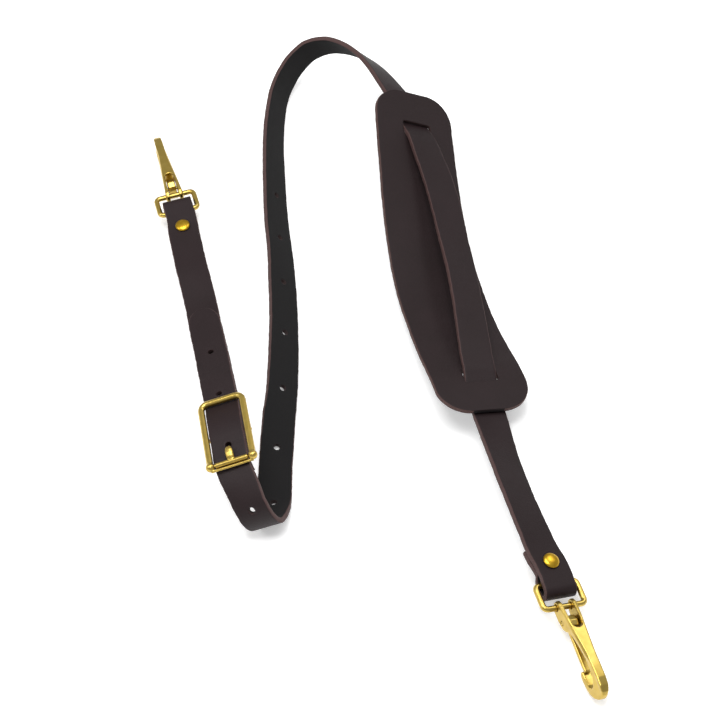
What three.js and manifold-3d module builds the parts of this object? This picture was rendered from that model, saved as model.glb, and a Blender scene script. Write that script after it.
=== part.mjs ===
// Leather shoulder strap with a slide buckle, a slotted shoulder pad and a snap hook at each end.
// Millimetres, +Z up, lying on the ground plane.
import * as THREE from "three";
import { mergeVertices } from "three/addons/utils/BufferGeometryUtils.js";
import Module from "manifold-3d";

const wasm = await Module();
wasm.setup();

const STRAP_WIDTH = 19;
const FOLD_WIDTH = 18;
const STRAP_THICK = 3;
const GAP = 0.3;
const LAYER = STRAP_THICK + GAP;

// Places along the run, measured from hook A's fold.
const UNDER_FROM = 50;
const UNDER_BY = 86;
const TIP_AT = 90;
const TIP_LONG = 13.3;
const SHORT_END_AT = 224;
const HOLE_R = 1.8;
const FLAP_LENGTH = 24;
const FLAP_OPEN = 4.6;
const FLAP_CLOSES = 5.9;
const FOLD_WIDENS = 22;
const RIVET_A_AT = 18.5;
const RIVET_B_AT = 14;
const RIVET_ROOM_R = 1.8;
const PAD_WIDTH = 55;
const PAD_THICK = 2.6;
const PAD_CORNER = 18;
const SLOT_UPPER_AT = 27;
const SLOT_LOWER_AT = 25.7;
const SLOT_LONG = 10;
const SLOT_WIDE = 20;
const WIRE_R = 1.7;
const LOOP_LONG = 23.8;
const EYE_FROM_FOLD = 10.6;
const LOOP_INSIDE = 3.4;
const LOOP_CORNER = 2.4;
const HOOK_PITCH = 3;
const HOOK_HALF = 5.5;
const HOOK_TIP = 0.48;
const TIP_FROM = 47;
const TIP_ROUND = 6.6;
const GATE_HALF = 2.6;
const GATE_TIP = 0.75;
const TAPER_LONG = 30;
const HOOK_SLOT = 6;
const PIN_R = 1;
const PIN_HALF = 4.5;
const FRAME_HALF = 11.9;
const FRAME_LONG = 42.3;
const FRAME_R = 1.9;
const KNUCKLE_R = 2.6;
const FRAME_CORNER = 4;
const SLEEVE_PIN_R = 0.9;
const SEAT_R = 1;
const SEAT_AT = 20;
const SEAT_DEEP = 6.8;

// Hand-punched holes, from the long strap's tip.
const HOLES_AT = [37.5, 75.5, 115.2, 153.6, 190, 227.5, 266, 304.2, 342.4, 380.1, 417.5];

// Middle of the visible leather layer from hook A to hook B: place, plan direction of the width and its rise.
const RUN = [
  // x, y, z, side, lean
  [-113.6, 111.2, 15.5, 197, -3],
  [-110.8, 102, 14.3, 195, -3],
  [-108.7, 91, 13.2, 193.5, -2],
  [-103, 66, 13.5, 193, 0],
  [-96.5, 39.5, 16, 194, -5],
  [-90.5, 12, 18.5, 194, -8],
  [-84.5, -15, 22.5, 193, -10],
  [-79, -42, 29, 192, -12],
  [-76, -56.5, 32.6, 191, -14],
  [-72.7, -75, 37, 190.5, -14],
  [-70.2, -87, 36.3, 190.5, -14],
  [-68, -98, 34.4, 190.5, -15],
  [-62.5, -109.5, 31, 189, -22],
  [-57.5, -118.8, 25, 185, -30],
  [-54, -122, 19, 182, -28],
  [-50.5, -121, 12, 181, -26],
  [-48.5, -116, 7.2, 183, -25],
  [-47.5, -108.5, 4.2, 182, -17],
  [-47, -101, 2.3, 180, -4],
  [-47, -96, 1.5, 180, 0],
  [-47, -76, 1.5, 180, 0],
  [-46.5, -58, 3.4, 179, 11],
  [-46, -45, 4.9, 180, 19],
  [-45, -32, 6.4, 181, 26],
  [-44.5, -6, 9.2, 183, 31],
  [-45, 20, 11, 184, 35],
  [-46.5, 46, 11.5, 183, 37],
  [-48.5, 72, 10.5, 182, 41],
  [-51.5, 98, 9.3, 182, 44],
  [-53.7, 124, 8.6, 184, 48],
  [-55.2, 150, 9, 184, 51],
  [-56.2, 175, 9.5, 183, 55],
  [-55.7, 195, 10.5, 184, 59],
  [-53.6, 214, 12.5, 187, 62],
  [-49.6, 226.5, 15, 191, 64],
  [-43, 237.5, 19, 196, 66],
  [-33.5, 244.5, 24, 209, 68],
  [-21, 245, 28, 226, 65],
  [-9, 239.5, 30, 230, 58],
  [1, 231.5, 30.4, 226, 51],
  [9.5, 221.5, 29.6, 220, 43],
  [17, 210, 28, 214, 36],
  [23, 199, 27, 208, 31],
  [28.6, 187, 25, 203, 28],
  [32.4, 178.5, 22.8, 199, 26],
  [34.2, 174, 21.9, 198, 26],
  [36.1, 168.3, 23.2, 197, 25],
  [38.1, 162.5, 24.6, 197, 24],
  [39.6, 158, 24.7, 197, 23],
  [42.4, 148, 24, 196, 19],
  [48, 126, 23.6, 193, 13],
  [53, 100, 23, 189, 12],
  [56.5, 74, 23, 188, 18],
  [60.2, 48.5, 23.6, 187, 22],
  [63, 22.5, 23.6, 186, 20],
  [65.3, -3, 22.8, 186, 15],
  [66.3, -13, 21.8, 187, 13],
  [66.9, -18, 21.4, 188, 12],
  [67.5, -22, 20.9, 188, 11.5],
  [68.1, -27.2, 19, 189, 11],
  [68.8, -33, 17.1, 189, 11],
  [69.5, -37, 16.6, 190, 11],
  [71, -45, 16.3, 190, 10],
  [73.4, -56, 16.3, 191, 12],
  [78, -80, 18.5, 195, 25],
  [84.6, -106.5, 20, 199, 27],
  [91.4, -128.5, 19.2, 200, 23],
  [95.4, -140, 18, 199, 20],
  [100.4, -150.5, 16.8, 196, 14],
  [103.4, -160.8, 15.4, 193.8, 12],
];

// Middle of the pad from its upper to its lower end.
const PAD = [
  // x, y, z, side, lean
  [33.5, 194.5, 30.3, 190, 26],
  [34, 184, 27.5, 190, 26],
  [35.3, 160.5, 22.3, 189, 25],
  [37, 136.5, 18, 188.5, 24],
  [38.8, 113, 14.3, 188.5, 22],
  [41.2, 89, 11.2, 189, 19.5],
  [44.5, 65, 9.2, 190, 16],
  [48.8, 41, 8.9, 191, 13],
  [54.2, 17.5, 10.6, 192, 12],
  [60.2, -5.5, 14.4, 193, 10],
  [66.7, -28.5, 19.4, 193, 9],
  [72, -52, 20.5, 193, 10],
];

const rad = THREE.MathUtils.degToRad;

function smooth(t) {
  const c = Math.min(1, Math.max(0, t));
  return c * c * (3 - 2 * c);
}

// Direction of the width from its plan angle and its rise above level, in degrees.
function widthDirection(side, lean) {
  return new THREE.Vector3(
    Math.cos(rad(lean)) * Math.cos(rad(side)),
    Math.cos(rad(lean)) * Math.sin(rad(side)),
    Math.sin(rad(lean)),
  );
}

// A ribbon's centre line with its width direction, read off by length along it.
class Ribbon {
  constructor(rows) {
    const places = rows.map(([x, y, z]) => new THREE.Vector3(x, y, z));
    const turns = rows.map((row) => new THREE.Vector3(row[3], row[4], 0));
    this.line = new THREE.CatmullRomCurve3(places, false, "centripetal");
    this.line.arcLengthDivisions = 4000;
    this.turn = new THREE.CatmullRomCurve3(turns, false, "catmullrom");
    this.length = this.line.getLength();
  }
  at(s) {
    const t = this.line.getUtoTmapping(0, s);
    const p = this.line.getPoint(t);
    const along = this.line.getTangent(t);
    const turn = this.turn.getPoint(t);
    const wide = widthDirection(turn.x, turn.y);
    wide.addScaledVector(along, -wide.dot(along)).normalize();
    const up = wide.clone().cross(along);
    return { p, along, wide, up };
  }
}

// A closed solid through rings of equal count, each counterclockwise when seen from the far end.
function sweep(rings) {
  const n = rings[0].length;
  const last = (rings.length - 1) * n;
  const position = rings.flat().flatMap((v) => [v.x, v.y, v.z]);
  const index = [];
  for (let r = 0; r < rings.length - 1; r += 1) {
    for (let k = 0; k < n; k += 1) {
      const a = r * n + k;
      const b = r * n + ((k + 1) % n);
      index.push(a, b, b + n, a, b + n, a + n);
    }
  }
  for (let k = 1; k < n - 1; k += 1) {
    index.push(0, k + 1, k);
    index.push(last, last + k, last + k + 1);
  }
  const g = new THREE.BufferGeometry();
  g.setAttribute("position", new THREE.Float32BufferAttribute(position, 3));
  g.setIndex(index);
  return g;
}

// A closed geometry as a solid that can be cut and joined.
function toSolid(geometry) {
  geometry.deleteAttribute("normal");
  geometry.deleteAttribute("uv");
  const merged = mergeVertices(geometry, 1e-4);
  const vertProperties = merged.getAttribute("position").array;
  const triVerts = new Uint32Array(merged.index.array);
  return new wasm.Manifold(new wasm.Mesh({ numProp: 3, vertProperties, triVerts }));
}

function toGeometry(solid) {
  const { vertProperties, triVerts } = solid.getMesh();
  const geometry = new THREE.BufferGeometry();
  geometry.setAttribute("position", new THREE.Float32BufferAttribute(vertProperties, 3));
  geometry.setIndex(Array.from(triVerts));
  return geometry;
}

function basis(x, y, z, p) {
  return new THREE.Matrix4().makeBasis(x, y, z).setPosition(p);
}

// Four corners of a leather section; the clamp presses the leather flat on the ground.
function section(p, wide, up, half, thick) {
  return [[1, -1], [-1, -1], [-1, 1], [1, 1]].map(([a, b]) => {
    const v = p.clone().addScaledVector(wide, a * half).addScaledVector(up, (b * thick) / 2);
    v.z = Math.max(v.z, 0);
    return v;
  });
}

const run = new Ribbon(RUN);
const padLine = new Ribbon(PAD);
const END = run.length;

// Half width of the strap, narrowed where it folds round a loop's bar.
function halfAt(fromBar) {
  return (FOLD_WIDTH + (STRAP_WIDTH - FOLD_WIDTH) * smooth((fromBar - 2) / FOLD_WIDENS)) / 2;
}

// Rings from the free end of a hook's flap, round the loop's bar, up to the bar's own station.
function foldRings(barAt, direction) {
  const rings = [];
  const radius = WIRE_R + GAP + STRAP_THICK / 2;
  for (let d = FLAP_LENGTH; d > 0; d -= d > 12 ? 4 : 2) {
    const { p, wide, up } = run.at(barAt + direction * d);
    const drop = LAYER + (2 * radius - LAYER) * (1 - smooth((d - FLAP_OPEN) / FLAP_CLOSES));
    rings.push([p.clone().addScaledVector(up, -drop), wide, up.clone().negate(), halfAt(d)]);
  }
  const { p, along, wide, up } = run.at(barAt);
  const bar = p.clone().addScaledVector(up, -radius);
  const out = along.clone().multiplyScalar(-direction);
  for (let k = 0; k <= 8; k += 1) {
    const a = Math.PI * (1 - k / 8);
    const normal = up.clone().multiplyScalar(Math.cos(a)).addScaledVector(out, Math.sin(a));
    rings.push([bar.clone().addScaledVector(normal, radius), wide, normal, halfAt(0)]);
  }
  const inside = run.at(barAt + direction * LOOP_INSIDE);
  const nearBar = inside.p.clone().addScaledVector(inside.up, -radius);
  return { rings, bar, nearBar, along, wide, up };
}

const foldA = foldRings(0, 1);
const foldB = foldRings(END, -1);

// A strap swept from one end to the other, through rings of place, width, grain side and half width.
function leather(rings) {
  const corners = rings.map(([p, wide, up, half]) => section(p, wide, up, half, STRAP_THICK));
  return toSolid(sweep(corners));
}

function shortStrap() {
  const rings = [...foldA.rings];
  for (let s = 5; s <= SHORT_END_AT; s += s < 150 ? 7 : 5) {
    const { p, wide, up } = run.at(s);
    const under = LAYER * smooth((s - UNDER_FROM) / (UNDER_BY - UNDER_FROM));
    rings.push([p.clone().addScaledVector(up, -under), wide, up, halfAt(s)]);
  }
  return leather(rings);
}

// The free end of the long strap is cut to a half round.
function longStrap() {
  const rings = [];
  for (const a of [0.12, 0.35, 0.6, 0.85, 1.15, Math.PI / 2]) {
    const { p, wide, up } = run.at(TIP_AT + TIP_LONG * (1 - Math.cos(a)));
    rings.push([p, wide, up, (STRAP_WIDTH / 2) * Math.sin(a)]);
  }
  const tightFrom = 225;
  const tightTo = 300;
  let s = TIP_AT + TIP_LONG;
  while (s < END - 9) {
    s += s > tightFrom && s < tightTo ? 3 : 6;
    const { p, wide, up } = run.at(s);
    rings.push([p, wide, up, halfAt(END - s)]);
  }
  rings.push(...foldB.rings.reverse());
  return leather(rings);
}

// A round punch through the leather at length s, square to its face.
function punch(s, r) {
  const { p, along, wide, up } = run.at(s);
  const tool = new THREE.CylinderGeometry(r, r, 16, 14).rotateX(Math.PI / 2).translate(0, 0, -2);
  return toSolid(tool.applyMatrix4(basis(wide, along, up, p)));
}

// Room for the slanting strap where it crosses a slot whose middle is at point p.
function strapRoom(p) {
  let near = 0;
  for (let s = 0; s < END; s += 1) {
    if (run.at(s).p.distanceTo(p) < run.at(near).p.distanceTo(p)) near = s;
  }
  const rings = [];
  for (let s = near - 16; s <= near + 16; s += 2) {
    const { p: middle, wide, up } = run.at(s);
    rings.push(section(middle, wide, up, STRAP_WIDTH / 2 + 0.5, STRAP_THICK + 0.9));
  }
  return toSolid(sweep(rings));
}

function shoulderPad() {
  const rings = [];
  const long = padLine.length;
  const stations = [];
  for (let a = 0; a <= 6; a += 1) {
    stations.push(PAD_CORNER * (1 - Math.cos((a * Math.PI) / 12)));
  }
  for (let k = 1; k < 24; k += 1) {
    stations.push(PAD_CORNER + ((long - 2 * PAD_CORNER) * k) / 24);
  }
  for (let a = 6; a >= 0; a -= 1) {
    stations.push(long - PAD_CORNER * (1 - Math.cos((a * Math.PI) / 12)));
  }
  for (const s of stations) {
    const in0 = Math.max(0, PAD_CORNER - Math.min(s, long - s));
    const half = PAD_WIDTH / 2 - PAD_CORNER + Math.sqrt(PAD_CORNER ** 2 - in0 ** 2);
    const { p, wide, up } = padLine.at(s);
    rings.push(section(p, wide, up, half, PAD_THICK));
  }
  let pad = toSolid(sweep(rings));
  for (const s of [SLOT_UPPER_AT, long - SLOT_LOWER_AT]) {
    const { p, along, wide, up } = padLine.at(s);
    const slot = new THREE.BoxGeometry(SLOT_WIDE, SLOT_LONG, 12).applyMatrix4(basis(wide, along, up, p));
    pad = pad.subtract(toSolid(slot)).subtract(strapRoom(p));
  }
  return pad;
}

// Round bar through a list of points in one plane, closed on itself or open with flat ends.
function bar(points, radius, sides, closed, planeUp) {
  const n = points.length;
  const rings = points.map((p, i) => {
    const before = closed ? points[(i + n - 1) % n] : points[Math.max(0, i - 1)];
    const after = closed ? points[(i + 1) % n] : points[Math.min(n - 1, i + 1)];
    const along = after.clone().sub(before).normalize();
    const out = planeUp.clone().cross(along).normalize();
    return Array.from({ length: sides }, (_, k) => {
      const a = (2 * Math.PI * k) / sides;
      const across = out.clone().multiplyScalar(radius * Math.cos(a));
      return p.clone().add(across).addScaledVector(planeUp, radius * Math.sin(a));
    });
  });
  if (!closed) return toSolid(sweep(rings));
  const position = rings.flat().flatMap((v) => [v.x, v.y, v.z]);
  const index = [];
  for (let r = 0; r < n; r += 1) {
    for (let k = 0; k < sides; k += 1) {
      const a = r * sides + k;
      const b = r * sides + ((k + 1) % sides);
      const c = ((r + 1) % n) * sides + k;
      const d = ((r + 1) % n) * sides + ((k + 1) % sides);
      index.push(a, b, d, a, d, c);
    }
  }
  const g = new THREE.BufferGeometry();
  g.setAttribute("position", new THREE.Float32BufferAttribute(position, 3));
  g.setIndex(index);
  return toSolid(g);
}

// Corner points of a rounded rectangle in the XY plane, counterclockwise.
function roundedRectangle(halfX, halfY, corner, steps) {
  const points = [];
  const centres = [[1, 1], [-1, 1], [-1, -1], [1, -1]];
  centres.forEach(([cx, cy], q) => {
    for (let k = 0; k <= steps; k += 1) {
      const a = (Math.PI / 2) * (q + k / steps);
      points.push(new THREE.Vector3(
        cx * (halfX - corner) + corner * Math.cos(a),
        cy * (halfY - corner) + corner * Math.sin(a),
        0,
      ));
    }
  });
  return points;
}

const Z = new THREE.Vector3(0, 0, 1);

// A round rod along X with its middle at x, y, z.
function rod(radius, halfLong, sides, [x, y, z]) {
  const g = new THREE.CylinderGeometry(radius, radius, 2 * halfLong, sides);
  return toSolid(g.rotateZ(Math.PI / 2).translate(x, y, z));
}

// Rectangular wire loop, with the hook's bar on the X axis and the strap's bar at -short along Y.
function wireLoop(short) {
  const path = roundedRectangle(LOOP_LONG / 2, short / 2, LOOP_CORNER, 4);
  path.forEach((p) => p.setY(p.y - short / 2));
  return bar(path, WIRE_R, 10, true, Z);
}

// Side outline of the hook in Y and Z, with the loop's bar at the origin and the spine above.
const HOOK_SIDE = [
  // y, z
  [-3.3, 0], [-2.5, -2.5], [0, -3.8], [5, -5.2], [10.6, -5.4], [12.8, -4], [14.6, -2], [17, -0.8],
  [23.8, -0.4], [31.6, -0.4], [38.4, -1.2], [41.4, -2.3], [43.5, -3.9], [44.7, -6], [44.5, -7.8],
  [43.4, -9], [41.8, -9.6], [37.4, -9.7], [33.5, -9.4], [32.9, -11], [33.9, -12.6], [37.4, -13.2],
  [42.3, -13.1], [46, -12.1], [49.2, -10.3], [51.6, -7.8], [52.8, -5], [52.7, -2.4], [51.4, -0.2],
  [48.8, 1.5], [44.5, 2.6], [38, 3.3], [31.5, 3.8], [25, 4.1], [10, 4.5], [0, 4.1], [-2.5, 2.7],
];

const GATE_SIDE = [
  // y, z
  [5.2, -3.9], [5.2, -1.4], [6.2, 1.2], [9.6, 2.2], [12.4, 1.4], [13.2, -1.6], [14.4, -3.7],
  [20, -4.6], [29.5, -6.4], [34.9, -7.1], [35.2, -8.9], [29.5, -8.7], [20, -6.9], [12, -5.5], [8, -5.5],
];

// Extrudes a side outline along X with soft edges, narrows it along Y and rounds its far end in plan.
function sideBody(outline, half, soft, tip) {
  const shape = new THREE.Shape(outline.map(([y, z]) => new THREE.Vector2(y, z)));
  const g = new THREE.ExtrudeGeometry(shape, {
    depth: 2 * (half - soft),
    bevelEnabled: true,
    bevelThickness: soft,
    bevelSize: soft,
    bevelOffset: -soft,
    bevelSegments: 2,
    curveSegments: 1,
  });
  g.translate(0, 0, -(half - soft));
  const p = g.getAttribute("position");
  for (let i = 0; i < p.count; i += 1) {
    const y = p.getX(i);
    const z = p.getY(i);
    const taper = 1 - (1 - tip) * Math.min(1, Math.max(0, y / TAPER_LONG));
    const narrow = taper * Math.sqrt(1 - (Math.max(0, y - TIP_FROM) / TIP_ROUND) ** 2);
    p.setXYZ(i, p.getZ(i) * narrow, y, z);
  }
  return toSolid(g);
}

const GATE_PIN = [0, 8, -2.6];

function hookBody() {
  const fork = new THREE.BoxGeometry(HOOK_SLOT, 24, 30).translate(0, 0.5, 0);
  const arch = new THREE.CylinderGeometry(HOOK_SLOT / 2, HOOK_SLOT / 2, 30, 20).rotateX(Math.PI / 2);
  return sideBody(HOOK_SIDE, HOOK_HALF, 0.9, HOOK_TIP)
    .subtract(toSolid(fork))
    .subtract(toSolid(arch.translate(0, 12.5, 0)))
    .subtract(rod(WIRE_R + GAP, 9, 20, [0, 0, 0]))
    .subtract(rod(PIN_R + GAP, 9, 16, GATE_PIN));
}

function hookGate() {
  return sideBody(GATE_SIDE, GATE_HALF, 0.6, GATE_TIP).subtract(rod(PIN_R + GAP, 9, 16, GATE_PIN));
}

function hookPin() {
  return rod(PIN_R, PIN_HALF, 16, GATE_PIN);
}

// Rivet turned about Z: domed cap above both layers, post, and a flat head below.
function rivet() {
  const top = STRAP_THICK / 2 + 0.4;
  const below = -LAYER - STRAP_THICK / 2 - 0.4;
  const profile = [
    [0, below - 1.2], [3.2, below - 1.2], [3.5, below - 0.9], [3.5, below], [1.4, below],
    [1.4, top], [4.5, top], [4.3, top + 0.6], [3.5, top + 1.2], [2, top + 1.6], [0, top + 1.7],
  ];
  const g = new THREE.LatheGeometry(profile.map(([r, z]) => new THREE.Vector2(r, z)), 20);
  return toSolid(g.rotateX(Math.PI / 2));
}

// Buckle frame: top bar on the X axis, rails along Y, knuckles at the far corners, seat bar below.
function buckleFrame() {
  const path = [new THREE.Vector3(FRAME_HALF, FRAME_LONG, 0)];
  for (const side of [1, -1]) {
    for (let k = 0; k <= 4; k += 1) {
      const a = (Math.PI / 2) * (side > 0 ? k / 4 : 1 - k / 4);
      const x = side * (FRAME_HALF - FRAME_CORNER * (1 - Math.cos(a)));
      path.push(new THREE.Vector3(x, FRAME_CORNER * (1 - Math.sin(a)), 0));
    }
  }
  path.push(new THREE.Vector3(-FRAME_HALF, FRAME_LONG, 0));
  let frame = bar(path, FRAME_R, 10, false, Z)
    .add(rod(0.8, FRAME_HALF, 10, [0, FRAME_LONG + 2.6, -0.6]))
    .add(rod(SLEEVE_PIN_R, FRAME_HALF, 12, [0, FRAME_LONG, 0]))
    .add(rod(SEAT_R, FRAME_HALF, 12, [0, SEAT_AT, -SEAT_DEEP]));
  for (const x of [FRAME_HALF, -FRAME_HALF]) {
    const post = new THREE.CylinderGeometry(SEAT_R, SEAT_R, 7, 10).rotateX(Math.PI / 2);
    const knuckle = new THREE.SphereGeometry(KNUCKLE_R, 16, 10);
    frame = frame
      .add(toSolid(knuckle.translate(x, FRAME_LONG, 0)))
      .add(toSolid(post.translate(x, SEAT_AT, -3.5)));
  }
  return frame;
}

// Sleeve on the frame's lower pin with the stub prong that reaches back to the hole in the leather.
function buckleProng() {
  const stub = [
    // y, z, half width, half thickness
    [FRAME_LONG, 0, 2.1, 1.3],
    [40.2, 1.5, 2.2, 1.2],
    [38.2, 2.3, 2.3, 1.1],
    [36.2, 2.7, 2.1, 1],
    [34.8, 2.6, 1.7, 0.8],
    [33.8, 2.1, 1.1, 0.6],
    [33.2, 1.5, 0.5, 0.4],
  ].map(([y, z, w, t]) => Array.from({ length: 10 }, (_, k) => {
    const a = (2 * Math.PI * k) / 10;
    return new THREE.Vector3(-w * Math.cos(a), y, z - t * Math.sin(a));
  }));
  return toSolid(sweep(stub))
    .add(rod(1.5, FRAME_HALF - KNUCKLE_R - GAP, 16, [0, FRAME_LONG, 0]))
    .subtract(rod(SLEEVE_PIN_R + GAP, 20, 16, [0, FRAME_LONG, 0]));
}

// Axes of a loop or hook at a fold: X across, Y towards the hook's tip at a pitch above level, Z upwards.
function turned(fold, outward, pitch) {
  const y = fold.along.clone().multiplyScalar(outward);
  y.z = 0;
  y.addScaledVector(fold.wide, -y.dot(fold.wide)).normalize();
  const z = new THREE.Vector3().crossVectors(fold.wide, y).multiplyScalar(outward);
  const rise = rad(pitch);
  const tip = y.clone().multiplyScalar(Math.cos(rise)).addScaledVector(z, Math.sin(rise));
  const top = z.clone().multiplyScalar(Math.cos(rise)).addScaledVector(y, -Math.sin(rise));
  return [tip.clone().cross(top), tip, top];
}

const group = new THREE.Group();

// The footprint's middle sits on the origin.
group.position.set(4.8, -13.9, 0);

const LEATHER = new THREE.Color("#3a2c2c");
const BRASS = new THREE.Color("#c9a94e");

function addPiece(parent, name, solid, colour) {
  const metal = colour === BRASS;
  const material = new THREE.MeshStandardMaterial({
    color: colour,
    roughness: metal ? 0.3 : 0.55,
    metalness: metal ? 1 : 0,
  });
  const mesh = new THREE.Mesh(toGeometry(solid), material);
  mesh.name = name;
  parent.add(mesh);
}

function placedGroup(matrix) {
  const placed = new THREE.Group();
  placed.applyMatrix4(matrix);
  group.add(placed);
  return placed;
}

const shortSolid = shortStrap().subtract(punch(RIVET_A_AT, RIVET_ROOM_R));
let longSolid = longStrap().subtract(punch(END - RIVET_B_AT, RIVET_ROOM_R));
for (const at of HOLES_AT) {
  longSolid = longSolid.subtract(punch(TIP_AT + at, HOLE_R));
}
addPiece(group, "short_strap", shortSolid, LEATHER);
addPiece(group, "long_strap", longSolid, LEATHER);
addPiece(group, "shoulder_pad", shoulderPad(), LEATHER);

// The buckle lies along the strap between its top bar and its lower bar.
const topBar = new THREE.Vector3(-76.2, -56.5, 36.7);
const lowBar = new THREE.Vector3(-68.2, -98, 38.2);
const buckleY = lowBar.clone().sub(topBar).normalize();
const buckleX = widthDirection(190.5, -14);
buckleX.addScaledVector(buckleY, -buckleX.dot(buckleY)).normalize();
const buckle = placedGroup(basis(buckleX, buckleY, buckleX.clone().cross(buckleY), topBar));
addPiece(buckle, "buckle_frame", buckleFrame(), BRASS);
addPiece(buckle, "buckle_prong", buckleProng(), BRASS);

// Each end of the strap carries a rivet, a loop in the fold and a hook on the loop's far bar.
function addHook(name, fold, outward, rivetAt) {
  const { p, along, wide, up } = run.at(rivetAt);
  addPiece(placedGroup(basis(wide, along, up, p)), name + "_rivet", rivet(), BRASS);
  const level = turned(fold, outward, 0);
  const eye = fold.bar.clone().addScaledVector(level[1], EYE_FROM_FOLD);
  const reach = eye.clone().sub(fold.nearBar);
  reach.addScaledVector(level[0], -reach.dot(level[0]));
  const short = reach.length();
  reach.normalize();
  const loop = placedGroup(basis(level[0], reach, level[0].clone().cross(reach), eye));
  addPiece(loop, name + "_loop", wireLoop(short), BRASS);
  const hook = placedGroup(basis(...turned(fold, outward, HOOK_PITCH), eye));
  addPiece(hook, name + "_body", hookBody(), BRASS);
  addPiece(hook, name + "_gate", hookGate(), BRASS);
  addPiece(hook, name + "_pin", hookPin(), BRASS);
}

addHook("hook_a", foldA, -1, RIVET_A_AT);
addHook("hook_b", foldB, 1, END - RIVET_B_AT);

export default group;
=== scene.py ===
import math

import bpy
import numpy as np
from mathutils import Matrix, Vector


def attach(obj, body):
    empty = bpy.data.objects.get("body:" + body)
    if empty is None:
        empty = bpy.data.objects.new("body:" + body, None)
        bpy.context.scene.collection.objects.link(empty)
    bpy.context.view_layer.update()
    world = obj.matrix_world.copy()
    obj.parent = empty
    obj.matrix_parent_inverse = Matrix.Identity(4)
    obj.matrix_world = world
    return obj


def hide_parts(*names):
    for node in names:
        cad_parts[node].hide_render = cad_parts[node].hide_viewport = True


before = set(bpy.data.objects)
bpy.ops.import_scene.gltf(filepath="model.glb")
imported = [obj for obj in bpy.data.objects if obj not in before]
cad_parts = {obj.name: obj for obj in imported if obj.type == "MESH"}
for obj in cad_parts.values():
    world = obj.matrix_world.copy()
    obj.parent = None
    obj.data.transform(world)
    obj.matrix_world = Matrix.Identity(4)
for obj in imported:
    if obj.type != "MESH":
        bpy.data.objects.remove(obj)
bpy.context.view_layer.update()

# Short strap
# Bridle leather, cut 19 mm wide and 3 mm thick and dyed through. Its upper end is folded round hook A's
# loop and riveted, and the rest runs down beneath the long strap and through the buckle.

MM = 0.001
STRAP_WIDTH = 19.0
FOLD_WIDTH = 18.0
LEATHER = 3.0
GAP = 0.3
LAYER = LEATHER + GAP
EDGE_ROUND = 0.55
EDGE_WAVER = 0.22
CELL = 1.2
SHORT_END_AT = 224.0
UNDER_FROM = 50.0
UNDER_BY = 86.0
FLAP_LONG = 24.0
FLAP_OPEN = 4.6
FLAP_CLOSES = 5.9
FOLD_KEEPS = 2.0
FOLD_WIDENS = 22.0
FOLD_RADIUS = 3.5
FLAP_NEAR_BAR = 1.0
FLAP_RINGS = 28
BEND_RINGS = 19
LINE_SAMPLES = 8001
STRAP_MIDDLE = 8
STRAP_COLUMNS = np.linspace(-1, 1, 2 * STRAP_MIDDLE + 1)

# Angle of each point round a section's edge, and whether it is on the grain or the flesh side.
CORNERS = np.radians([60, 30, 0, 0, -30, -60])
CORNER_SIDE = np.array([1, 1, 1, -1, -1, -1])

# Rings of a cut's rim below each face of the leather: how far outside the cut's outline, and how deep.
RIM = [
    # outside, deep
    [0.22, 0],
    [0.06, 0.07],
    [0, 0.25],
]

# The face swells a little round a cut, and a little way down its wall some of the pale core shows.
RIM_SWELL = 0.06
RIM_PALE_BELOW = 0.05
RIM_PALENESS = 0.3

# Added to every place in the tables, so that the origin is the middle of the footprint.
SHIFT = np.array([4.8, -13.9, 0.0])

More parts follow.
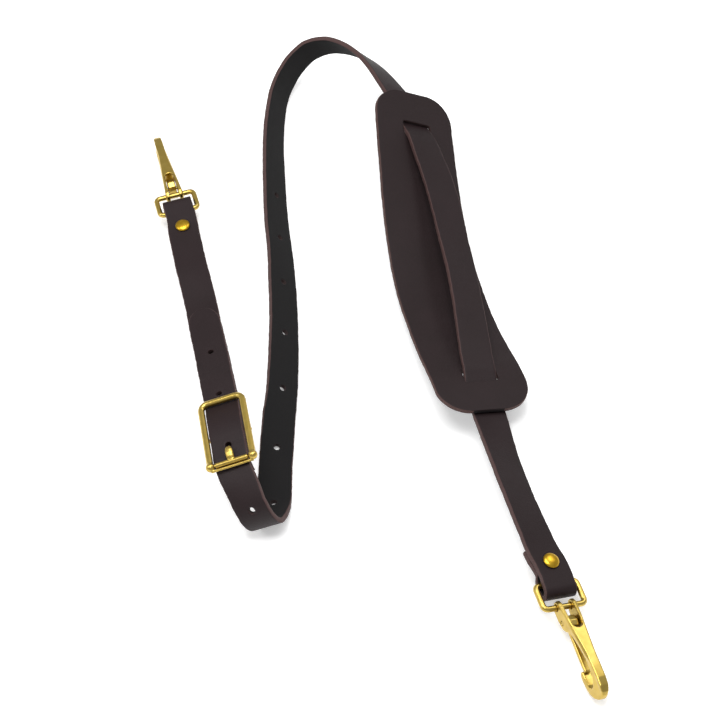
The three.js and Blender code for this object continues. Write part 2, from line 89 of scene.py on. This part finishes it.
# Middle of the visible leather layer from hook A to hook B: place, plan direction of the width and its rise.
RUN = np.array([
    # x, y, z, side, lean
    [-113.6, 111.2, 15.5, 197, -3],
    [-110.8, 102, 14.3, 195, -3],
    [-108.7, 91, 13.2, 193.5, -2],
    [-103, 66, 13.5, 193, 0],
    [-96.5, 39.5, 16, 194, -5],
    [-90.5, 12, 18.5, 194, -8],
    [-84.5, -15, 22.5, 193, -10],
    [-79, -42, 29, 192, -12],
    [-76, -56.5, 32.6, 191, -14],
    [-72.7, -75, 37, 190.5, -14],
    [-70.2, -87, 36.3, 190.5, -14],
    [-68, -98, 34.4, 190.5, -15],
    [-62.5, -109.5, 31, 189, -22],
    [-57.5, -118.8, 25, 185, -30],
    [-54, -122, 19, 182, -28],
    [-50.5, -121, 12, 181, -26],
    [-48.5, -116, 7.2, 183, -25],
    [-47.5, -108.5, 4.2, 182, -17],
    [-47, -101, 2.3, 180, -4],
    [-47, -96, 1.5, 180, 0],
    [-47, -76, 1.5, 180, 0],
    [-46.5, -58, 3.4, 179, 11],
    [-46, -45, 4.9, 180, 19],
    [-45, -32, 6.4, 181, 26],
    [-44.5, -6, 9.2, 183, 31],
    [-45, 20, 11, 184, 35],
    [-46.5, 46, 11.5, 183, 37],
    [-48.5, 72, 10.5, 182, 41],
    [-51.5, 98, 9.3, 182, 44],
    [-53.7, 124, 8.6, 184, 48],
    [-55.2, 150, 9, 184, 51],
    [-56.2, 175, 9.5, 183, 55],
    [-55.7, 195, 10.5, 184, 59],
    [-53.6, 214, 12.5, 187, 62],
    [-49.6, 226.5, 15, 191, 64],
    [-43, 237.5, 19, 196, 66],
    [-33.5, 244.5, 24, 209, 68],
    [-21, 245, 28, 226, 65],
    [-9, 239.5, 30, 230, 58],
    [1, 231.5, 30.4, 226, 51],
    [9.5, 221.5, 29.6, 220, 43],
    [17, 210, 28, 214, 36],
    [23, 199, 27, 208, 31],
    [28.6, 187, 25, 203, 28],
    [32.4, 178.5, 22.8, 199, 26],
    [34.2, 174, 21.9, 198, 26],
    [36.1, 168.3, 23.2, 197, 25],
    [38.1, 162.5, 24.6, 197, 24],
    [39.6, 158, 24.7, 197, 23],
    [42.4, 148, 24, 196, 19],
    [48, 126, 23.6, 193, 13],
    [53, 100, 23, 189, 12],
    [56.5, 74, 23, 188, 18],
    [60.2, 48.5, 23.6, 187, 22],
    [63, 22.5, 23.6, 186, 20],
    [65.3, -3, 22.8, 186, 15],
    [66.3, -13, 21.8, 187, 13],
    [66.9, -18, 21.4, 188, 12],
    [67.5, -22, 20.9, 188, 11.5],
    [68.1, -27.2, 19, 189, 11],
    [68.8, -33, 17.1, 189, 11],
    [69.5, -37, 16.6, 190, 11],
    [71, -45, 16.3, 190, 10],
    [73.4, -56, 16.3, 191, 12],
    [78, -80, 18.5, 195, 25],
    [84.6, -106.5, 20, 199, 27],
    [91.4, -128.5, 19.2, 200, 23],
    [95.4, -140, 18, 199, 20],
    [100.4, -150.5, 16.8, 196, 14],
    [103.4, -160.8, 15.4, 193.8, 12],
])


def smooth(t):
    """3t^2 - 2t^3 with t held between 0 and 1."""
    c = np.clip(t, 0, 1)
    return c * c * (3 - 2 * c)


def unit(v):
    """Each row divided by its own length."""
    return v / np.linalg.norm(v, axis=-1, keepdims=True)


def spline(points, t, power):
    """Cubic through the points at t from 0 to 1, and its rate. The slope at a point comes from the chords on
    both sides, weighted by their length to the power (0.5 for places, 0 for angles), and the ends go on
    straight."""
    ends = 2 * points[[0, -1]] - points[[1, -2]]
    q = np.vstack([ends[:1], points, ends[1:]])
    u = t * (len(points) - 1)
    i = np.clip(u.astype(int), 0, len(points) - 2)
    w = (u - i)[:, None]
    a, b, c, d = q[i], q[i + 1], q[i + 2], q[i + 3]
    chords = (b - a, c - b, d - c)
    g, h, k = (np.linalg.norm(chord, axis=1, keepdims=True) ** power for chord in chords)
    slope_b = ((b - a) / g - (c - a) / (g + h) + (c - b) / h) * h
    slope_c = ((c - b) / h - (d - b) / (h + k) + (d - c) / k) * h
    square = 3 * (c - b) - 2 * slope_b - slope_c
    cube = 2 * (b - c) + slope_b + slope_c
    return b + w * (slope_b + w * (square + w * cube)), slope_b + w * (2 * square + 3 * w * cube)


class Ribbon:
    """A leather strip's centre line, read off by length: place, direction along, width direction and grain
    side. The grain side is the width crossed with the direction along."""

    def __init__(self, rows):
        self.rows = rows
        self.t = np.linspace(0, 1, LINE_SAMPLES)
        place, _ = spline(rows[:, :3] + SHIFT, self.t, 0.5)
        steps = np.linalg.norm(np.diff(place, axis=0), axis=1)
        self.far = np.concatenate([[0], np.cumsum(steps)])
        self.length = self.far[-1]

    def at(self, s):
        """Place, direction along, width direction and grain side at each length s. The width is turned by its
        plan angle and its rise, and then made square to the direction along."""
        t = np.interp(np.atleast_1d(s), self.far, self.t)
        place, rate = spline(self.rows[:, :3] + SHIFT, t, 0.5)
        along = unit(rate)
        side, lean = np.radians(spline(self.rows[:, 3:], t, 0)[0]).T
        wide = np.stack([np.cos(lean) * np.cos(side), np.cos(lean) * np.sin(side), np.sin(lean)], 1)
        wide = unit(wide - along * np.sum(wide * along, axis=1, keepdims=True))
        return place, along, wide, np.cross(wide, along)


def half_at(from_bar):
    """Half the strap's width, drawn in where it folds round a loop's bar."""
    return (FOLD_WIDTH + (STRAP_WIDTH - FOLD_WIDTH) * smooth((from_bar - FOLD_KEEPS) / FOLD_WIDENS)) / 2


def stations(*stops, cell=CELL):
    """Lengths from the first stop to the last in even steps of about one cell, with every stop among them."""
    parts = [np.linspace(a, b, max(1, round((b - a) / cell)) + 1)[:-1] for a, b in zip(stops, stops[1:])]
    return np.concatenate([*parts, [stops[-1]]])


def fold(ribbon, bar_at, direction):
    """Place, width, grain side and half width, from the end of the riveted flap back to the bar and half
    round it. The flap lies one layer behind the strap, and the bend is a half circle about the loop's bar."""
    d = np.linspace(FLAP_LONG, FLAP_NEAR_BAR, FLAP_RINGS)
    place, _, wide, up = ribbon.at(bar_at + direction * d)
    drop = LAYER + (2 * FOLD_RADIUS - LAYER) * (1 - smooth((d - FLAP_OPEN) / FLAP_CLOSES))
    flap = (place - up * drop[:, None], wide, -up, half_at(d))
    place, along, wide, up = ribbon.at(bar_at)
    bar = place - up * FOLD_RADIUS
    a = np.linspace(math.pi, 0, BEND_RINGS)[:, None]
    normal = up * np.cos(a) - along * direction * np.sin(a)
    half = np.full(BEND_RINGS, half_at(0.0))
    bend = (bar + normal * FOLD_RADIUS, np.repeat(wide, BEND_RINGS, 0), normal, half)
    return [np.concatenate(pair) for pair in zip(flap, bend)]


def wander(count, seed, size):
    """A hand-cut edge's small waver: five sine waves of random phase, 4 to 40 cells long."""
    random = np.random.default_rng(seed)
    i = np.arange(count)
    waves = [np.sin(2 * math.pi * (i / length + random.random())) for length in (4.3, 7.1, 11.9, 19, 41)]
    return size * np.mean(waves, axis=0)


def sections(half, columns, thick, seed):
    """Where the points of each section lie, across the strip and above its middle, a row for each section.
    A section is a flat rectangle with round corners, as one loop: grain face, right edge, flesh face, left
    edge. Corner points go by the cosine and sine of their angle. The first and last two are thinner."""
    rows = len(half)
    r = EDGE_ROUND
    from_end = np.minimum(np.arange(rows), np.arange(rows)[::-1])
    depth = np.where(from_end == 0, thick - r, np.where(from_end == 1, thick - r / 4, thick))
    right = half - r + wander(rows, seed, EDGE_WAVER)
    left = half - r + wander(rows, seed + 1, EDGE_WAVER)
    top = np.where(columns[None, :] > 0, right[:, None], left[:, None]) * columns[None, :]
    face = np.repeat(depth[:, None] / 2, len(columns), 1)
    edge = r * np.cos(CORNERS)[None, :]
    corner = (CORNER_SIDE * (thick / 2 - r) + r * np.sin(CORNERS))[None, :] * (depth / thick)[:, None]
    across = np.hstack([top, right[:, None] + edge, top[:, ::-1], -(left[:, None] + edge[:, ::-1])])
    height = np.hstack([face, corner, -face, corner[:, ::-1]])
    return across, height


def border_of(row, column, tall, broad):
    """Rows and columns of the points round a block of cells, in one loop round its middle point."""
    i = np.arange(row - tall, row + tall)
    j = np.arange(column - broad, column + broad)
    rows = np.concatenate([np.full(2 * broad, i[0]), i, np.full(2 * broad, i[-1] + 1), i[::-1] + 1])
    columns = np.concatenate([j, np.full(2 * tall, j[-1] + 1), j[::-1] + 1, np.full(2 * tall, j[0])])
    return rows, columns


def rim_of(cut, border, path, across, thick):
    """Rings of points from the grain side through the wall to the flesh side, each with its height. The
    border of the cut's block is drawn in to the outline |x/wide|^power + |y/long|^power = 1, which is set
    aside along the width."""
    place, wide, up, _ = path
    row, column, _, _, long, breadth, power, aside = cut
    rows, columns = border
    along = unit(np.cross(up[row], wide[row]))
    middle = place[row] + wide[row] * (across[row, column] + aside)
    spot = place[rows] + wide[rows] * across[rows, columns][:, None] - middle
    x = spot @ wide[row]
    y = spot @ along
    bow = spot - wide[row] * x[:, None] - along * y[:, None]
    pull = 1 / (np.abs(x / breadth) ** power + np.abs(y / long) ** power) ** (1 / power)
    reach = np.hypot(x, y) * pull
    shares = [1 - (1 - pull) / 2] + [pull * (1 + outside / reach) for outside, _ in RIM]
    heights = [thick / 2 + RIM_SWELL] + [thick / 2 - deep for _, deep in RIM]
    rings = []
    for share, height in zip(shares + shares[::-1], heights + [-h for h in heights[::-1]]):
        drawn = wide[row] * (x * share)[:, None] + along * (y * share)[:, None]
        rings.append((middle + drawn + bow * (share ** 2)[:, None] + up[rows] * height, height))
    return rings


def leather_sheet(path, thick, columns, cuts=(), seed=0):
    """Closed leather wall along a path of place, width, grain side and half width: its sections joined by
    quads, with a cap at each end. Each cut is (row, column, rows, columns, long, wide, power, aside): a block
    of cells is left out on both faces, and its rim joins them through the wall."""
    place, wide, up, half = path
    rows = len(place)
    m = len(columns)
    across, height = sections(half, columns, thick, seed)
    n = across.shape[1]
    points = place[:, None] + wide[:, None] * across[..., None] + up[:, None] * height[..., None]
    points = points.reshape(-1, 3)
    on_grain = np.concatenate([np.ones(m), CORNER_SIDE > 0, np.zeros(m), CORNER_SIDE[::-1] > 0])
    grain_side = np.tile(on_grain, rows)
    cut_edge = np.tile(np.repeat([0.0, 1.0, 0.0, 1.0], [m, len(CORNERS), m, len(CORNERS)]), rows)
    index = np.arange(rows * n).reshape(rows, n)
    following = np.roll(index, -1, axis=1)
    quads = np.stack([index[:-1], following[:-1], following[1:], index[1:]], axis=2)
    order = np.roll(np.arange(n), len(CORNERS) // 2)
    upper, lower = order[: n // 2], order[n // 2:][::-1]
    faces = []
    for row, near, far in ((0, upper, lower), (rows - 1, lower, upper)):
        corners = (near[:-1], far[:-1], far[1:], near[1:])
        faces.append(np.stack([index[row, corner] for corner in corners], axis=1))
    keep = np.ones((rows - 1, n), bool)
    opposite = 2 * m + len(CORNERS) - 1
    for cut in cuts:
        row, column, tall, broad = cut[:4]
        keep[row - tall:row + tall, column - broad:column + broad] = False
        keep[row - tall:row + tall, opposite - column - broad:opposite - column + broad] = False
        border = border_of(row, column, tall, broad)
        loops = [index[border]]
        for ring, height in rim_of(cut, border, path, across, thick):
            loops.append(np.arange(len(points), len(points) + len(ring)))
            points = np.vstack([points, ring])
            grain_side = np.concatenate([grain_side, np.full(len(ring), float(height > 0))])
            pale = RIM_PALENESS * (abs(height) < thick / 2 - RIM_PALE_BELOW)
            cut_edge = np.concatenate([cut_edge, np.full(len(ring), pale)])
        loops.append(index[border[0], opposite - border[1]])
        for outer, inner in zip(loops, loops[1:]):
            faces.append(np.stack([outer, np.roll(outer, -1), np.roll(inner, -1), inner], axis=1))
    used, quads = np.unique(np.vstack([quads[keep], *faces]), return_inverse=True)
    points[:, 2] = np.maximum(points[:, 2], 0)
    return points[used], quads.reshape(-1, 4), {"grain_side": grain_side[used], "cut_edge": cut_edge[used]}


def linear(hex_colour):
    """sRGB hex colour as linear red, green, blue and alpha."""
    srgb = np.array([int(hex_colour[k:k + 2], 16) for k in (1, 3, 5)]) / 255
    channels = np.where(srgb <= 0.04045, srgb / 12.92, ((srgb + 0.055) / 1.055) ** 2.4)
    return (*channels.tolist(), 1.0)


def node(tree, kind, inputs=None, **settings):
    """Adds one shader node. Settings are its properties, and inputs are values or the sockets linked to it."""
    made = tree.nodes.new("ShaderNode" + kind)
    for key, value in settings.items():
        setattr(made, key, value)
    for key, value in (inputs or {}).items():
        if isinstance(value, bpy.types.NodeSocket):
            tree.links.new(value, made.inputs[key])
        else:
            made.inputs[key].default_value = value
    return made


def blank_material(name):
    """A material with an empty node tree, and the Object coordinates that its patterns are laid out in."""
    material = bpy.data.materials.new(name)
    material.use_nodes = True
    tree = material.node_tree
    tree.nodes.clear()
    return material, tree, node(tree, "TexCoord").outputs["Object"]


# Bridle leather: bark tanned, dyed almost black and waxed, with a satin grain face, a duller flesh side and a
# cut edge where the paler core shows. Its grain cells are really about 0.3 mm wide. They are drawn 0.9 to
# 1.3 mm wide so that they show.
def bridle_leather(name, grain_colours, edge_colours, gloss):
    material, tree, spot = blank_material(name)
    grain_side = node(tree, "Attribute", attribute_name="grain_side").outputs["Fac"]
    cut_edge = node(tree, "Attribute", attribute_name="cut_edge").outputs["Fac"]
    blotch = node(tree, "TexNoise", {"Vector": spot, "Scale": 1 / (26 * MM), "Detail": 4.0, "Roughness": 0.6})
    grain = node(tree, "TexNoise", {"Vector": spot, "Scale": 1 / (0.9 * MM), "Detail": 3.0, "Roughness": 0.6})
    pores = node(tree, "TexVoronoi", {"Vector": spot, "Scale": 1 / (1.3 * MM)}, feature="DISTANCE_TO_EDGE")
    fibre = node(tree, "TexNoise",
                 {"Vector": spot, "Scale": 1 / (0.6 * MM), "Detail": 5.0, "Roughness": 0.75})
    dark, light = (linear(c) for c in grain_colours)
    face = node(tree, "Mix", {0: blotch.outputs["Fac"], 6: dark, 7: light}, data_type="RGBA")
    deep, raised = linear("#0e0d0d"), linear("#1b1a1b")
    flesh = node(tree, "Mix", {0: fibre.outputs["Fac"], 6: deep, 7: raised}, data_type="RGBA")
    dim, pale = (linear(c) for c in edge_colours)
    core = node(tree, "Mix", {0: fibre.outputs["Fac"], 6: dim, 7: pale}, data_type="RGBA")
    sides = node(tree, "Mix", {0: grain_side, 6: flesh.outputs[2], 7: face.outputs[2]}, data_type="RGBA")
    colour = node(tree, "Mix", {0: cut_edge, 6: sides.outputs[2], 7: core.outputs[2]}, data_type="RGBA")
    matt = node(tree, "MapRange", {"Value": grain_side, "To Min": 0.82, "To Max": gloss})
    worn = node(tree, "Math", {0: grain.outputs["Fac"], 1: 0.12, 2: matt.outputs[0]},
                operation="MULTIPLY_ADD")
    dull = node(tree, "Mix", {0: cut_edge, 2: worn.outputs[0], 3: 0.7})
    pore = node(tree, "MapRange", {"Value": pores.outputs["Distance"], "From Max": 0.18})
    relief = node(tree, "Math", {0: grain.outputs["Fac"], 1: pore.outputs[0]}, operation="ADD")
    rough = node(tree, "Mix", {0: grain_side, 2: fibre.outputs["Fac"], 3: relief.outputs[0]})
    bump = node(tree, "Bump", {"Height": rough.outputs[0], "Strength": 0.35, "Distance": 0.09 * MM})
    shader = node(tree, "BsdfPrincipled", {
        "Base Color": colour.outputs[2], "Roughness": dull.outputs[0], "Normal": bump.outputs[0],
        "IOR": 1.46, "Specular IOR Level": 0.25,
    })
    node(tree, "OutputMaterial", {"Surface": shader.outputs[0]})
    return material


def add_piece(name, points, faces, body, replaced, material, layers=None):
    """A mesh from points in millimetres, with its place in it, riding on a body in a CAD node's stead."""
    mesh = bpy.data.meshes.new(name)
    mesh.from_pydata((points * MM).tolist(), [], faces.tolist() if isinstance(faces, np.ndarray) else faces)
    mesh.polygons.foreach_set("use_smooth", np.ones(len(mesh.polygons), bool))
    for key, values in (layers or {}).items():
        mesh.attributes.new(key, "FLOAT", "POINT").data.foreach_set("value", values.astype(np.float32))
    mesh.materials.append(material)
    piece = bpy.data.objects.new(name, mesh)
    bpy.context.scene.collection.objects.link(piece)
    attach(piece, body)
    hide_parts(replaced)


run = Ribbon(RUN)
strap_leather = bridle_leather("Bridle leather, dark brown, waxed", ("#190f10", "#231719"),
                               ("#3a2827", "#54403e"), 0.5)

fold_a = fold(run, 0.0, 1)
s = stations(CELL / 2, SHORT_END_AT)
place, _, wide, up = run.at(s)
under = LAYER * smooth((s - UNDER_FROM) / (UNDER_BY - UNDER_FROM))
lower_run = (place - up * under[:, None], wide, up, half_at(s))
short_path = [np.concatenate(pair) for pair in zip(fold_a, lower_run)]
points, faces, layers = leather_sheet(short_path, LEATHER, STRAP_COLUMNS, seed=3)
add_piece("short_strap_leather", points, faces, "strap", "short_strap", strap_leather,
          layers)

# Long strap
# The same bridle leather, with a half-round free end laid on the short strap and eleven holes punched by hand
# about every 38 mm. It folds back below the buckle, runs over the top bend and through the pad, and is folded
# round hook B's loop.

TIP_AT = 90.0
TIP_LONG = 13.3
TIP_FIRST_ANGLE = 0.1
TIP_ROWS = 14
TIP_LEAST_FLAT = 0.2
HOLES_AT = np.array([37.5, 75.5, 115.2, 153.6, 190, 227.5, 266, 304.2, 342.4, 380.1, 417.5])
HOLE_RADIUS = 1.8
HOLE_CELLS = 3

hole_block = HOLE_CELLS * (STRAP_WIDTH / 2 - EDGE_ROUND) / STRAP_MIDDLE
holes_at = TIP_AT + HOLES_AT
tip_angle = np.linspace(TIP_FIRST_ANGLE, math.pi / 2, TIP_ROWS)[:-1]
tip_at = TIP_AT + TIP_LONG * (1 - np.cos(tip_angle))
stops = np.stack([holes_at - hole_block, holes_at, holes_at + hole_block], 1).ravel()
s = np.concatenate([tip_at, stations(TIP_AT + TIP_LONG, *stops, run.length - CELL)])
place, _, wide, up = run.at(s)
half = half_at(run.length - s)
half[:len(tip_at)] = STRAP_WIDTH / 2 * np.sin(tip_angle)
fold_b = fold(run, run.length, -1)
upper_run = (place, wide, up, np.maximum(half, EDGE_ROUND + TIP_LEAST_FLAT))
long_path = [np.concatenate([one, two[::-1]]) for one, two in zip(upper_run, fold_b)]
hole_rows = [int(np.argmin(np.abs(s - h))) for h in holes_at]
cuts = [(row, STRAP_MIDDLE, HOLE_CELLS, HOLE_CELLS, HOLE_RADIUS, HOLE_RADIUS, 2, 0) for row in hole_rows]
points, faces, layers = leather_sheet(long_path, LEATHER, STRAP_COLUMNS, cuts, seed=11)
add_piece("long_strap_leather", points, faces, "strap", "long_strap", strap_leather, layers)

# Shoulder pad
# One layer of the same leather, 55 mm wide and 2.6 mm thick, blocked into a shallow curve. The strap enters
# through a slot near the upper end, lies loose above the pad and leaves through a slot near the lower end.

PAD_WIDTH = 55.0
PAD_THICK = 2.6
PAD_CORNER = 18.0
PAD_CORNER_ROWS = 20
PAD_CELL = 1.5
PAD_MIDDLE = 18
SLOTS_AT = (27.0, 25.7)
SLOT_LONG = 10.0
SLOT_WIDE = 20.0
SLOT_ROWS = 4
SLOT_COLUMNS = 8
SLOT_SQUARENESS = 12

# Middle of the pad from its upper to its lower end.
PAD = np.array([
    # x, y, z, side, lean
    [33.5, 194.5, 30.3, 190, 26],
    [34, 184, 27.5, 190, 26],
    [35.3, 160.5, 22.3, 189, 25],
    [37, 136.5, 18, 188.5, 24],
    [38.8, 113, 14.3, 188.5, 22],
    [41.2, 89, 11.2, 189, 19.5],
    [44.5, 65, 9.2, 190, 16],
    [48.8, 41, 8.9, 191, 13],
    [54.2, 17.5, 10.6, 192, 12],
    [60.2, -5.5, 14.4, 193, 10],
    [66.7, -28.5, 19.4, 193, 9],
    [72, -52, 20.5, 193, 10],
])

pad_line = Ribbon(PAD)
pad_long = pad_line.length
corner = PAD_CORNER * (1 - np.cos(np.linspace(0, math.pi / 2, PAD_CORNER_ROWS)))
slot_at = np.array([SLOTS_AT[0], pad_long - SLOTS_AT[1]])
slot_block = SLOT_ROWS * PAD_CELL
slot_stops = np.stack([slot_at - slot_block, slot_at, slot_at + slot_block], 1).ravel()
between = stations(PAD_CORNER, *slot_stops, pad_long - PAD_CORNER, cell=PAD_CELL)
s = np.concatenate([corner[:-1], between, pad_long - corner[::-1][1:]])
inset = np.maximum(0, PAD_CORNER - np.minimum(s, pad_long - s))
half = PAD_WIDTH / 2 - PAD_CORNER + np.sqrt(PAD_CORNER ** 2 - inset ** 2)
place, _, wide, up = pad_line.at(s)
slot_rows = [int(np.argmin(np.abs(s - h))) for h in slot_at]
strap_places = run.at(np.arange(0, run.length))[0]
cuts = []
for row in slot_rows:
    threaded = strap_places[np.argmin(np.linalg.norm(strap_places - place[row], axis=1))]
    aside = (threaded - place[row]) @ wide[row]
    cuts.append((row, PAD_MIDDLE, SLOT_ROWS, SLOT_COLUMNS, SLOT_LONG / 2, SLOT_WIDE / 2,
                 SLOT_SQUARENESS, aside))
pad_columns = np.linspace(-1, 1, 2 * PAD_MIDDLE + 1)
points, faces, layers = leather_sheet((place, wide, up, half), PAD_THICK, pad_columns, cuts, seed=23)
pad_leather = bridle_leather("Bridle leather, dark brown, blocked", ("#191010", "#24181a"),
                             ("#3c2928", "#58433f"), 0.54)
add_piece("pad_leather_sheet", points, faces, "strap", "shoulder_pad", pad_leather, layers)

# Cast brass: loops, hooks, gates, pins, buckle and prong
# Solid brass, sand cast, tumbled and polished, so that corners are soft and joints are filled. Each is worked
# over from its solid: the facets are melted into one skin of small even cells and smoothed.

WELD_WITHIN = 0.002


# Polished cast brass: yellow and glossy, with darker and duller patches here and there and a faint ripple
# left by the sand. The ripple is 1.5 mm long and the patches about 6 mm.
def polished_brass():
    material, tree, spot = blank_material("Brass, cast and polished")
    patch = node(tree, "TexNoise", {"Vector": spot, "Scale": 1 / (6 * MM), "Detail": 3.0})
    ripple = node(tree, "TexNoise", {"Vector": spot, "Scale": 1 / (1.5 * MM), "Detail": 2.0})
    dark, light = linear("#a58a3c"), linear("#cfb566")
    colour = node(tree, "Mix", {0: patch.outputs["Fac"], 6: dark, 7: light}, data_type="RGBA")
    dull = node(tree, "MapRange", {"Value": patch.outputs["Fac"], "To Min": 0.36, "To Max": 0.24})
    bump = node(tree, "Bump", {"Height": ripple.outputs["Fac"], "Strength": 0.3, "Distance": 0.08 * MM})
    shader = node(tree, "BsdfPrincipled", {
        "Base Color": colour.outputs[2], "Metallic": 1.0, "Roughness": dull.outputs[0],
        "Normal": bump.outputs[0],
    })
    node(tree, "OutputMaterial", {"Surface": shader.outputs[0]})
    return material


brass = polished_brass()


def cast_skin(source, name, body, cell, passes):
    """A copy of a CAD node's solid with its doubles merged, remeshed in even cells and smoothed."""
    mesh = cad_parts[source].data.copy()
    mesh.name = name
    work = bpy.data.objects.new(name, mesh)
    bpy.context.scene.collection.objects.link(work)
    weld = work.modifiers.new("weld", "WELD")
    weld.merge_threshold = WELD_WITHIN * MM
    skin = work.modifiers.new("skin", "REMESH")
    skin.mode = "VOXEL"
    skin.voxel_size = cell * MM
    soften = work.modifiers.new("soften", "SMOOTH")
    soften.factor = 0.5
    soften.iterations = passes
    bpy.context.view_layer.update()
    graph = bpy.context.evaluated_depsgraph_get()
    final = bpy.data.meshes.new_from_object(work.evaluated_get(graph))
    work.modifiers.clear()
    work.data = final
    final.materials.clear()
    final.materials.append(brass)
    final.polygons.foreach_set("use_smooth", np.ones(len(final.polygons), bool))
    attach(work, body)
    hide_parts(source)


CAST = [
    # node, piece, body, cell, passes
    ("hook_a_loop", "hook_a_wire_loop", "strap", 0.3, 6),
    ("hook_b_loop", "hook_b_wire_loop", "strap", 0.3, 6),
    ("hook_a_body", "hook_a_casting", "hook_a", 0.25, 12),
    ("hook_b_body", "hook_b_casting", "hook_b", 0.25, 12),
    ("hook_a_gate", "hook_a_tongue", "gate_a", 0.25, 4),
    ("hook_b_gate", "hook_b_tongue", "gate_b", 0.25, 4),
    ("hook_a_pin", "hook_a_gate_pin", "hook_a", 0.15, 4),
    ("hook_b_pin", "hook_b_gate_pin", "hook_b", 0.15, 4),
    ("buckle_frame", "buckle_casting", "strap", 0.25, 6),
    ("buckle_prong", "buckle_tongue", "strap", 0.2, 5),
]
for source, name, body, cell, passes in CAST:
    cast_skin(source, name, body, cell, passes)

# Rivets
# Tubular brass rivets, 9 mm across the domed cap and 7 mm across the flat head behind, set through both
# layers of leather. The cap is spun and lacquered, a deeper yellow than the castings.

RIVET_PROFILE = [
    # radius, height from the middle of the strap
    [0.6, -6.32], [3.0, -6.3], [3.35, -6.15], [3.5, -5.9], [3.5, -5.4], [3.3, -5.2], [1.4, -5.2],
    [1.4, 1.9], [4.2, 1.88], [4.45, 2.0], [4.5, 2.2], [4.42, 2.45], [4.1, 2.8], [3.5, 3.15], [2.6, 3.42],
    [1.4, 3.56], [0.6, 3.59],
]
RIVET_SIDES = 48
RIVET_A_AT = 18.5
RIVET_B_AT = 14.0


def spun(profile, sides, axes, centre):
    """A profile of radius and height turned about the third axis, closed by a fan at each pole."""
    radius, height = np.array(profile).T
    a = 2 * math.pi * np.arange(sides) / sides
    x, y, z = axes
    ring = np.cos(a)[:, None] * x + np.sin(a)[:, None] * y
    points = centre + radius[:, None, None] * ring + height[:, None, None] * z
    index = np.arange(len(profile) * sides).reshape(-1, sides)
    nxt = np.roll(index, -1, axis=1)
    quads = np.stack([index[:-1], nxt[:-1], nxt[1:], index[1:]], axis=2).reshape(-1, 4).tolist()
    pole = np.full(sides, len(profile) * sides)
    poles = centre + np.array([height[0], height[-1]])[:, None] * z
    low = np.stack([pole, nxt[0], index[0]], axis=1).tolist()
    high = np.stack([pole + 1, index[-1], nxt[-1]], axis=1).tolist()
    return np.vstack([points.reshape(-1, 3), poles]), quads + low + high


# Spun and lacquered brass: deep golden yellow and glossy, with patches about 2.5 mm across that are a little
# darker and ripple the gloss.
def spun_brass():
    material, tree, spot = blank_material("Brass, spun and lacquered")
    patch = node(tree, "TexNoise", {"Vector": spot, "Scale": 1 / (2.5 * MM), "Detail": 3.0})
    dark, light = linear("#a07418"), linear("#d9b53a")
    colour = node(tree, "Mix", {0: patch.outputs["Fac"], 6: dark, 7: light}, data_type="RGBA")
    bump = node(tree, "Bump", {"Height": patch.outputs["Fac"], "Strength": 0.2, "Distance": 0.1 * MM})
    shader = node(tree, "BsdfPrincipled", {
        "Base Color": colour.outputs[2], "Metallic": 1.0, "Roughness": 0.3, "Normal": bump.outputs[0],
    })
    node(tree, "OutputMaterial", {"Surface": shader.outputs[0]})
    return material


rivet_brass = spun_brass()
for hook, at in (("hook_a", RIVET_A_AT), ("hook_b", run.length - RIVET_B_AT)):
    place, along, wide, up = (v[0] for v in run.at(at))
    points, faces = spun(RIVET_PROFILE, RIVET_SIDES, (wide, along, up), place)
    add_piece(hook + "_rivet_brass", points, faces, "strap", hook + "_rivet", rivet_brass)

# Studio
# White, faintly lit sheet on the ground, one broad soft light overhead and two weak ones at the sides, seen
# from the photograph's height.

FLOOR_DROP = 0.3
FLOOR_REACH = 3000.0
CAMERA_AT = (4.8, -592.6, 740.7)
CAMERA_TO = (4.8, -13.9, 0.0)
LENS = 80.0
LIGHTS = [
    # x, y, z, size, watts
    [-100, -50, 1200, 700, 13],
    [-900, -200, 800, 500, 3],
    [600, 500, 900, 400, 2],
]

floor_mesh = bpy.data.meshes.new("floor")
corners = FLOOR_REACH * np.array([[-1, -1, 0], [1, -1, 0], [1, 1, 0], [-1, 1, 0]])
corners[:, 2] = -FLOOR_DROP
floor_mesh.from_pydata((corners * MM).tolist(), [], [(0, 1, 2, 3)])
floor = bpy.data.objects.new("floor", floor_mesh)
bpy.context.scene.collection.objects.link(floor)
paper = bpy.data.materials.new("Paper, white, matt")
paper.use_nodes = True
paper_inputs = paper.node_tree.nodes["Principled BSDF"].inputs
paper_inputs["Base Color"].default_value = linear("#f4f4f4")
paper_inputs["Roughness"].default_value = 0.9
paper_inputs["Emission Color"].default_value = (1, 1, 1, 1)
paper_inputs["Emission Strength"].default_value = 0.3
floor_mesh.materials.append(paper)

for number, (x, y, z, size, watts) in enumerate(LIGHTS):
    light = bpy.data.lights.new(f"softbox_{number}", "AREA")
    light.size = size * MM
    light.energy = watts
    lamp = bpy.data.objects.new(light.name, light)
    lamp.location = Vector((x, y, z)) * MM
    lamp.rotation_euler = (-lamp.location).to_track_quat("-Z", "Y").to_euler()
    bpy.context.scene.collection.objects.link(lamp)

world = bpy.data.worlds.new("studio")
world.use_nodes = True
sky_inputs = world.node_tree.nodes["Background"].inputs
sky_inputs["Color"].default_value = (1, 1, 1, 1)
sky_inputs["Strength"].default_value = 0.5
bpy.context.scene.world = world
bpy.context.scene.view_settings.view_transform = "Standard"

camera = bpy.data.cameras.new("camera")
camera.lens = LENS
camera.sensor_width = 36.0
eye = bpy.data.objects.new("camera", camera)
eye.location = Vector(CAMERA_AT) * MM
eye.rotation_euler = (Vector(CAMERA_TO) * MM - eye.location).to_track_quat("-Z", "Y").to_euler()
bpy.context.scene.collection.objects.link(eye)
bpy.context.scene.camera = eye
